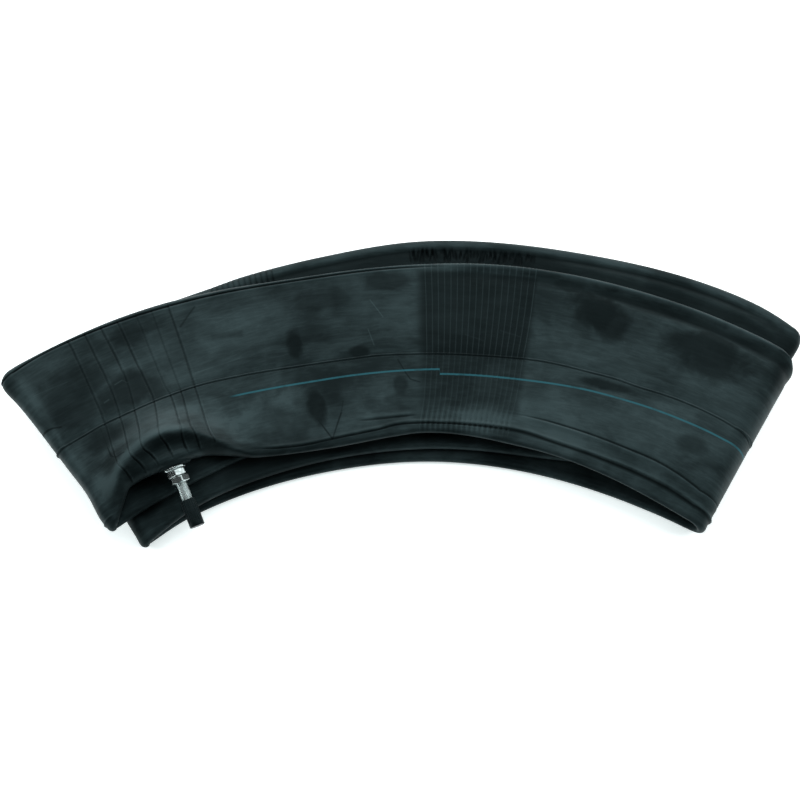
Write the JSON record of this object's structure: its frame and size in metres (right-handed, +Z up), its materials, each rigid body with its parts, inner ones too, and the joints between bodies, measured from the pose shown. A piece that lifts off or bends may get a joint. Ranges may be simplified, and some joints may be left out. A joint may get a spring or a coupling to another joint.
{
  "type": "inner tube",
  "caption": "Deflated butyl motorcycle inner tube folded flat into stacked layers, with a threaded metal valve stem, lock nuts, washer, valve core and dust cap.",
  "frame": {"origin": "on the floor under the middle of the folded tube, on the underside of its lowest layer", "axes": "+X along the folded length, +Y from the hollow side (where the valve points out) to the outer side, +Z up"},
  "size_m": [0.5144, 0.2163, 0.04],
  "materials": {
    "butyl_rubber": "satin, faintly dusty",
    "pad_rubber": "matte",
    "seal_rubber": "matte",
    "nickel_plate": "satin plated",
    "core_brass": "machined",
    "spring_steel": "drawn wire",
    "cap_plastic": "moulded, fine ribs"
  },
  "bodies": {
    "tube": {"tube_body": "butyl_rubber", "valve_base_pad": "pad_rubber", "valve_stem": "nickel_plate", "core_plug": "core_brass", "core_barrel": "core_brass", "core_gasket": "seal_rubber", "core_spring": "spring_steel"},
    "pin": {"core_pin": "core_brass", "core_seal_cup": "seal_rubber"},
    "washer": {"clamp_washer": "nickel_plate"},
    "inner_nut": {"hex_nut_inner": "nickel_plate"},
    "outer_nut": {"hex_nut_outer": "nickel_plate"},
    "cap_seal": {"cap_gasket": "seal_rubber"},
    "cap": {"valve_cap": "cap_plastic"}
  },
  "joints": [
    {"name": "cap_travel", "type": "slide", "parent": "tube", "child": "cap_seal", "axis": [0.3682, -0.8696, -0.3289], "range_m": [0, 0.00556]},
    {"name": "cap_turn", "type": "hinge", "parent": "cap_seal", "child": "cap", "pos_m": [-0.1415, -0.0624, 0.033], "axis": [0.3682, -0.8696, -0.3289], "range_deg": [0, 2520]},
    {"name": "nut_travel", "type": "slide", "parent": "tube", "child": "washer", "axis": [0.3682, -0.8696, -0.3289], "range_m": [0, 0.00953]},
    {"name": "inner_nut_turn", "type": "hinge", "parent": "washer", "child": "inner_nut", "pos_m": [-0.1415, -0.0624, 0.033], "axis": [0.3682, -0.8696, -0.3289], "range_deg": [0, 4320]},
    {"name": "outer_nut_turn", "type": "hinge", "parent": "washer", "child": "outer_nut", "pos_m": [-0.1415, -0.0624, 0.033], "axis": [0.3682, -0.8696, -0.3289], "range_deg": [0, 4320]},
    {"name": "pin_press", "type": "slide", "parent": "tube", "child": "pin", "axis": [-0.3682, 0.8696, 0.3289], "range_m": [0, 0.0015], "stiffness_N_per_m": 1200, "springref_m": -0.001, "deforming": ["core_spring"]}
  ],
  "couplings": [
    {"joint": "cap_turn", "follows": "cap_travel", "rad_per_m": 7915.8},
    {"joint": "inner_nut_turn", "follows": "nut_travel", "rad_per_m": 7915.8},
    {"joint": "outer_nut_turn", "follows": "nut_travel", "rad_per_m": 7915.8}
  ]
}
